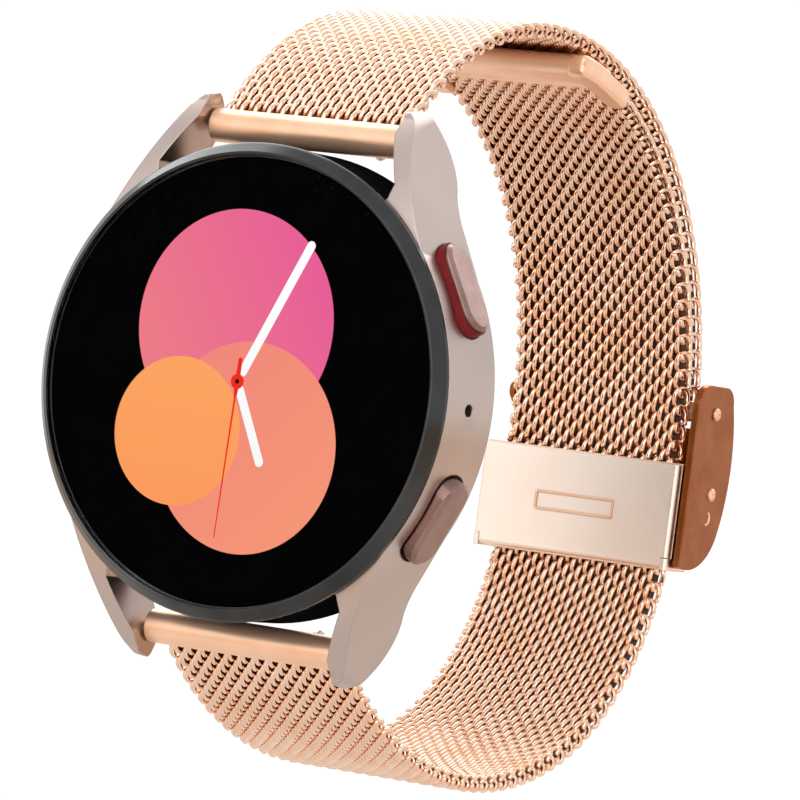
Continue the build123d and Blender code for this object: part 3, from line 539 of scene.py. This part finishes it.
bend(lower_bend, "lower_band_back", "lower_band_front", *LOWER_BEND, -LAYER_MIDDLE)
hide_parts("tail_mesh")
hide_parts("lower_mesh_back")
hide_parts("lower_mesh_front")

# ---- Dial: thin shapes just under the glass -----------------------------------------

SLAB_INSET = 0.01  # share of a shape's size that its bevel takes
SLAB_WALL = 0.6  # share of a shape's thickness below its bevel


def slab(name, outline, back, thick, finish):
    """Thin plate parallel to the watch's face, with a small bevel, from its outline in (x, z)."""
    outline = np.asarray(outline, float)
    count = len(outline)
    centre = outline.mean(0)
    inset = centre + (outline - centre) * (1 - SLAB_INSET)
    rings = [(outline, back), (outline, back - thick * SLAB_WALL), (inset, back - thick)]
    points = [(x, y, z) for ring, y in rings for x, z in ring]
    faces = [tuple(range(count))]
    for level in range(2):
        for i in range(count):
            j = (i + 1) % count
            low, high = level * count, (level + 1) * count
            faces.append((low + j, low + i, high + i, high + j))
    faces.append(tuple(range(3 * count - 1, 2 * count - 1, -1)))
    return piece(name, points, faces, finish, "case", smooth=False)


def disc(x, z, radius, count):
    """Outline of a circle in (x, z)."""
    turns = [2 * pi * i / count for i in range(count)]
    return [(x + radius * cos(turn), z + radius * sin(turn)) for turn in turns]


ROUND_PARTS = 16


def hand(angle, start, end, half, half_end):
    """Round-ended bar from start to end along a direction clockwise from 12 o'clock."""
    points = []
    for centre, radius, first in ((end, half_end, 0.0), (start, half, pi)):
        for i in range(ROUND_PARTS + 1):
            turn = first + pi * i / ROUND_PARTS
            points.append((centre + radius * sin(turn), radius * cos(turn)))
    ca, sa = cos(radians(angle)), sin(radians(angle))
    return [(u * sa + v * ca, u * ca - v * sa) for u, v in points]


PINK, MAGENTA = srgb(237, 122, 136), srgb(230, 92, 152)
CORAL, SALMON = srgb(240, 134, 124), srgb(245, 150, 118)
AMBER, ORANGE = srgb(252, 166, 100), srgb(251, 154, 92)
WHITE = (1.0, 1.0, 1.0)
ground_ink = moulded("dial_black", (0.0006, 0.0006, 0.0006), (0.0012, 0.0012, 0.0012), (0.5, 0.7), 4000.0,
                     0.000001, Specular_IOR_Level=0.0)
pink_light = lit("dial_pink", (-0.008, 0, 0.002), (0.008, 0, 0.012), (0.0, PINK), (1.0, MAGENTA))
coral_light = lit("dial_coral", (-0.006, 0, 0.004), (0.010, 0, -0.012), (0.0, CORAL), (1.0, SALMON))
amber_light = lit("dial_amber", (-0.006, 0, 0.003), (-0.006, 0, -0.013), (0.0, AMBER), (1.0, ORANGE))
white_light = lit("dial_white", (0, 0, -0.01), (0, 0, 0.01), (0.0, (0.93, 0.93, 0.93)), (1.0, WHITE))
red_light = lit("dial_red", (0, 0, -0.014), (0, 0, 0.003), (0.0, srgb(232, 52, 30)), (1.0, srgb(240, 44, 32)))

# Each shape lies a little in front of the one before it: its back's y, then its thickness.
slab("dial_ground", disc(0, 0, 19.5, 160), 0.895, 0.02, ground_ink)
slab("dial_circle_pink", disc(-1.0, 4.9, 10.0, 128), 0.873, 0.012, pink_light)
slab("dial_circle_coral", disc(1.6, -5.6, 9.2, 128), 0.860, 0.012, coral_light)
slab("dial_circle_amber", disc(-5.6, -4.9, 6.5, 128), 0.847, 0.012, amber_light)
slab("minute_hand", hand(25, 1.0, 13.6, 0.42, 0.42), 0.834, 0.02, white_light)
slab("hour_hand", hand(154, 0.8, 7.4, 0.42, 0.42), 0.834, 0.02, white_light)
slab("second_hand", hand(181.5, 0.0, 13.6, 0.10, 0.05), 0.812, 0.015, red_light)
slab("second_hand_tail", hand(1.5, 0.0, 1.9, 0.24, 0.20), 0.812, 0.016, red_light)
slab("second_hand_root", hand(181.5, 0.0, 1.25, 0.28, 0.16), 0.812, 0.017, red_light)
slab("hand_hub", disc(0, 0, 0.66, 48), 0.808, 0.02, red_light)
slab("hand_axis", disc(0, 0, 0.2, 32), 0.79, 0.02, ground_ink)

# ---- Folded cap on the tail's end ------------------------------------------------------


def on_tail(x, s, lift):
    """Points (x, y, z) on the tail's layer, from lengths along it and lifts off its middle."""
    y, z = on_layer(np.asarray(s, float), np.asarray(lift, float), -LAYER_MIDDLE)
    return np.stack((np.broadcast_to(x, y.shape), y, z), axis=1)


CAP_LENGTH = 5.2
CAP_BEND = 33.3  # radius of the band's loop at the cap
DEGREES = 57.3  # in a radian, rounded as in the CAD
TIP_START = TAIL_END + CAP_LENGTH / CAP_BEND * DEGREES
CAP_HALF = 10.2
CAP_OUT, CAP_IN = 0.85, -1.0  # faces of the cap, from the middle of the layer
FOLD_REACH = 0.9  # how far the fold bulges along the strap
FOLD_MIDDLE, FOLD_RADIUS = -0.075, 0.925
LIP_FOOT = 1.3  # from the cap's edge to where its lip begins to roll
LIP_DROP = 0.12
cap_free = length_at(TIP_START, -LAYER_MIDDLE)
cap_edge = length_at(TAIL_END, -LAYER_MIDDLE)


def cap_profile(shrink):
    """Section of the cap along the strap: fold at the free end, and a rolled lip over the mesh."""
    fold = [(cap_free + FOLD_REACH - FOLD_REACH * sin(a), FOLD_MIDDLE + FOLD_RADIUS * cos(a))
            for a in np.linspace(0, pi, 13)]
    lip = [(cap_edge - LIP_FOOT, CAP_IN), (cap_edge - 1.0, CAP_IN - 0.02)]
    lip.append((cap_edge - 0.8, CAP_IN - LIP_DROP))
    lip += [(cap_edge - 0.3 + 0.32 * sin(a), CAP_IN + LIP_DROP - 0.3 * cos(a))
            for a in np.linspace(0, pi / 2, 6)]
    section = [(cap_edge, CAP_OUT), (cap_free + 2.5, CAP_OUT), *fold, (cap_free + 2.0, CAP_IN), *lip]
    section.append((cap_edge, -0.4))
    middle = (CAP_OUT + CAP_IN) / 2
    return np.array([(s, middle + (n - middle) * shrink) for s, n in section])


# Each place across the cap, as a share of its half width, and the share of its thickness left there.
CAP_STATIONS = (
    (-1.0, 0.55), (-0.985, 0.85), (-0.96, 1.0), (0.0, 1.0), (0.96, 1.0), (0.985, 0.85), (1.0, 0.55),
)
cap_rings = []
for x, shrink in CAP_STATIONS:
    section = cap_profile(shrink)
    cap_rings.append(on_tail(x * CAP_HALF, section[:, 0], section[:, 1]))
points, faces = closed_rings(cap_rings)
cap = piece("tail_cap", points, faces, tube_metal, "tail", smooth=False)
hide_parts("tip_cap")

CLIP_INNER, CLIP_OUTER = 8.2, 10.35
CLIP_OVER = 4.4  # how far a corner clip runs along the strap's edge, past the cap
CLIP_HALF = 1.05  # half the clip's height
CLIP_MIDDLE = -0.28
CLIP_SQUARE = 0.45  # how square the clip's section is: 1 is an ellipse, 0 a rectangle
CLIP_PARTS = 32
CLIP_START = -0.05  # from the cap's free end


def clip_ring(side, s, shrink):
    """Rounded section of a corner clip across the strap, at a length along it."""
    turns = np.arange(CLIP_PARTS) * 2 * pi / CLIP_PARTS
    half_x = (CLIP_OUTER - CLIP_INNER) / 2
    x = np.sign(np.cos(turns)) * np.abs(np.cos(turns)) ** CLIP_SQUARE * (half_x - shrink)
    lift = np.sign(np.sin(turns)) * np.abs(np.sin(turns)) ** CLIP_SQUARE * (CLIP_HALF - shrink)
    y, z = on_layer(np.full(CLIP_PARTS, s), lift + CLIP_MIDDLE, -LAYER_MIDDLE)
    return np.stack((side * ((CLIP_INNER + CLIP_OUTER) / 2 + x), y, z), axis=1)


# Each length along a clip, and how much less its section reaches there.
clip_end = cap_edge + CLIP_OVER - cap_free
clip_steps = (
    (0.0, 0.5), (0.1, 0.25), (0.3, 0.08), (0.6, 0.0), (1.5, 0.0), (2.4, 0.0), (3.2, 0.03),
    (clip_end - 0.6, 0.06), (clip_end - 0.25, 0.15), (clip_end - 0.08, 0.3), (clip_end, 0.55),
)
for side, label in ((1, "right"), (-1, "left")):
    clip_rings = [clip_ring(side, cap_free + CLIP_START + s, shrink) for s, shrink in clip_steps]
    points, faces = closed_rings(clip_rings)
    faces = faces if side > 0 else [face[::-1] for face in faces]
    piece("tail_cap_clip_" + label, points, faces, tube_metal, "tail")

# ---- Clasp details --------------------------------------------------------------------


HEAD_RADIUS = 0.6
HEAD_RISE = 0.16
GROOVE_SHARE = 0.6  # share of the head's rise that the punch has pressed in


def peened_head(name, y, z, side, base, body):
    """Pin head that a cross-shaped punch has spread."""
    rings, count = 7, 48
    points, faces = [], []
    for i in range(rings):
        r = (i + 1) / rings
        for j in range(count):
            turn = 2 * pi * j / count
            groove = GROOVE_SHARE * abs(cos(2 * turn)) ** 6 * (1 - abs(2 * r - 1) ** 3)
            lift = HEAD_RISE * sqrt(max(0.0, 1 - r**4)) * (1 - groove) if r < 1 else 0.0
            reach = HEAD_RADIUS * r
            points.append((base + side * lift, y + reach * cos(turn) * side, z + reach * sin(turn)))
        if i:
            for j in range(count):
                k = (j + 1) % count
                faces.append(((i - 1) * count + j, i * count + j, i * count + k, (i - 1) * count + k))
    faces.append(tuple(range(rings * count - 1, (rings - 1) * count - 1, -1)))
    faces.append(tuple(range(count)))
    return piece(name, points, faces, tube_metal, body)


peened_head("hinge_pin_head", 66.85, 2.8, 1, 11.97, "upper_band_back")
peened_head("rivet_head_right", 67.9, -4.9, 1, 11.93, "cover")
peened_head("rivet_head_left", 67.9, -4.9, -1, -11.93, "cover")

CRESCENT_MIDDLE, CRESCENT_REACH = radians(-15), radians(85)
CRESCENT_END, CRESCENT_SWELL = 0.04, 0.13  # half its thickness at a tip, and how much more in the middle
CRESCENT_RISE = 0.6  # its height over its thickness


def crescent(name, y, z, radius, base, body):
    """Half-moon ridge that a punch leaves on the ear's outer side."""
    rings = []
    for turn in np.linspace(CRESCENT_MIDDLE - CRESCENT_REACH, CRESCENT_MIDDLE + CRESCENT_REACH, 21):
        share = (turn - CRESCENT_MIDDLE) / CRESCENT_REACH
        thick = CRESCENT_END + CRESCENT_SWELL * sqrt(max(0.0, 1 - share * share))
        centre = np.array((base, y + radius * cos(turn), z + radius * sin(turn)))
        out = np.array((0.0, cos(turn), sin(turn)))
        rings.append([centre + thick * (sin(a) * out + np.array((CRESCENT_RISE * cos(a), 0.0, 0.0)))
                      for a in np.linspace(0, 2 * pi, 9)[:-1]])
    points, faces = closed_rings(rings)
    return piece(name, points, faces, tube_metal, body)


crescent("ear_stop_mark", 67.5, -7.2, 0.62, 11.8, "cover")

# ---- Camera, lights, floor --------------------------------------------------------------

AZIMUTH, ELEVATION, ROLL = radians(31.28), radians(-0.14), radians(7.35)
away = Vector((sin(AZIMUTH) * cos(ELEVATION), -cos(AZIMUTH) * cos(ELEVATION), sin(ELEVATION)))
level = Vector((cos(AZIMUTH), sin(AZIMUTH), 0))
upright = away.cross(level)
right = cos(ROLL) * level + sin(ROLL) * upright
up = cos(ROLL) * upright - sin(ROLL) * level
BAR_MIDDLE = Vector((0, 7.6, 0))  # midway between the two spring bars
place = (BAR_MIDDLE + 10.55 * right - 1.14 * up + 458.7 * away) * MM

camera_data = bpy.data.cameras.new("camera")
camera_data.lens = 236.1
camera_data.sensor_width = 36.0
camera_data.clip_start, camera_data.clip_end = 0.01, 50.0
camera = bpy.data.objects.new("camera", camera_data)
camera.matrix_world = Matrix.Translation(place) @ Matrix((right, up, away)).transposed().to_4x4()
bpy.context.scene.collection.objects.link(camera)
bpy.context.scene.camera = camera


def sun(name, towards, strength, softness):
    """Distant soft light that comes from a direction; softness is its width in degrees."""
    data = bpy.data.lights.new(name, "SUN")
    data.energy = strength
    data.angle = radians(softness)
    made = bpy.data.objects.new(name, data)
    made.rotation_mode = "QUATERNION"
    made.rotation_quaternion = towards.to_track_quat("Z", "Y")
    bpy.context.scene.collection.objects.link(made)


ZENITH = Vector((0, 0, 1))
sun("key", -0.3 * right + 0.9 * ZENITH - 0.8 * away, 1.6, 50)
sun("front", -0.35 * right + 0.32 * ZENITH + 0.85 * away, 1.5, 70)
sun("back", 0.55 * right + 0.8 * ZENITH - 0.8 * away, 0.7, 40)

OPEN_DROP = 0.0145  # how far the lower strap swings below its place at rest
FLOOR_Z = cad_low.z - OPEN_DROP
FLOOR_HALF = 12.0
FLOOR_SIDES = ((-1, -1), (1, -1), (1, 1), (-1, 1))
floor_data = bpy.data.meshes.new("floor")
floor_corners = [(x * FLOOR_HALF, y * FLOOR_HALF, FLOOR_Z) for x, y in FLOOR_SIDES]
floor_data.from_pydata(floor_corners, [], [(0, 1, 2, 3)])
floor = bpy.data.objects.new("floor", floor_data)
bpy.context.scene.collection.objects.link(floor)
floor_paint = Surface("floor_paint", Base_Color=(0.7, 0.7, 0.7, 1), Specular_IOR_Level=0.0)
floor_paint.roughness(floor_paint.noise(40.0), 0.8, 0.95)
floor_data.materials.append(floor_paint.material)
floor.visible_glossy = False

world = bpy.data.worlds.new("studio")
bpy.context.scene.world = world
world.use_nodes = True
tree = world.node_tree
tree.nodes.clear()
coords = tree.nodes.new("ShaderNodeTexCoord")
split = tree.nodes.new("ShaderNodeSeparateXYZ")
tree.links.new(coords.outputs["Generated"], split.inputs["Vector"])
spread = tree.nodes.new("ShaderNodeMapRange")
spread.inputs[1].default_value = -1.0
spread.inputs[2].default_value = 1.0
tree.links.new(split.outputs["Z"], spread.inputs[0])
ramp = tree.nodes.new("ShaderNodeValToRGB")
# The room's light by height, from straight down to straight up: warm below, pale grey above.
SKY = (
    (-1.0, (0.75, 0.70, 0.66)),
    (-0.55, (0.95, 0.88, 0.83)),
    (-0.30, (0.95, 0.74, 0.58)),
    (-0.13, (0.75, 0.56, 0.42)),
    (-0.06, (1.05, 1.05, 1.05)),
    (0.12, (1.05, 1.05, 1.05)),
    (0.35, (0.82, 0.82, 0.82)),
    (0.7, (0.85, 0.85, 0.85)),
    (1.0, (0.95, 0.95, 0.95)),
)
elements = ramp.color_ramp.elements
while len(elements) < len(SKY):
    elements.new(0.5)
for element, (height, shade) in zip(elements, SKY):
    element.position = (height + 1) / 2
    element.color = (*shade, 1.0)
tree.links.new(spread.outputs[0], ramp.inputs["Fac"])
background = tree.nodes.new("ShaderNodeBackground")
tree.links.new(ramp.outputs["Color"], background.inputs["Color"])
output = tree.nodes.new("ShaderNodeOutputWorld")
tree.links.new(background.outputs["Background"], output.inputs["Surface"])

bpy.context.scene.view_settings.view_transform = "Standard"
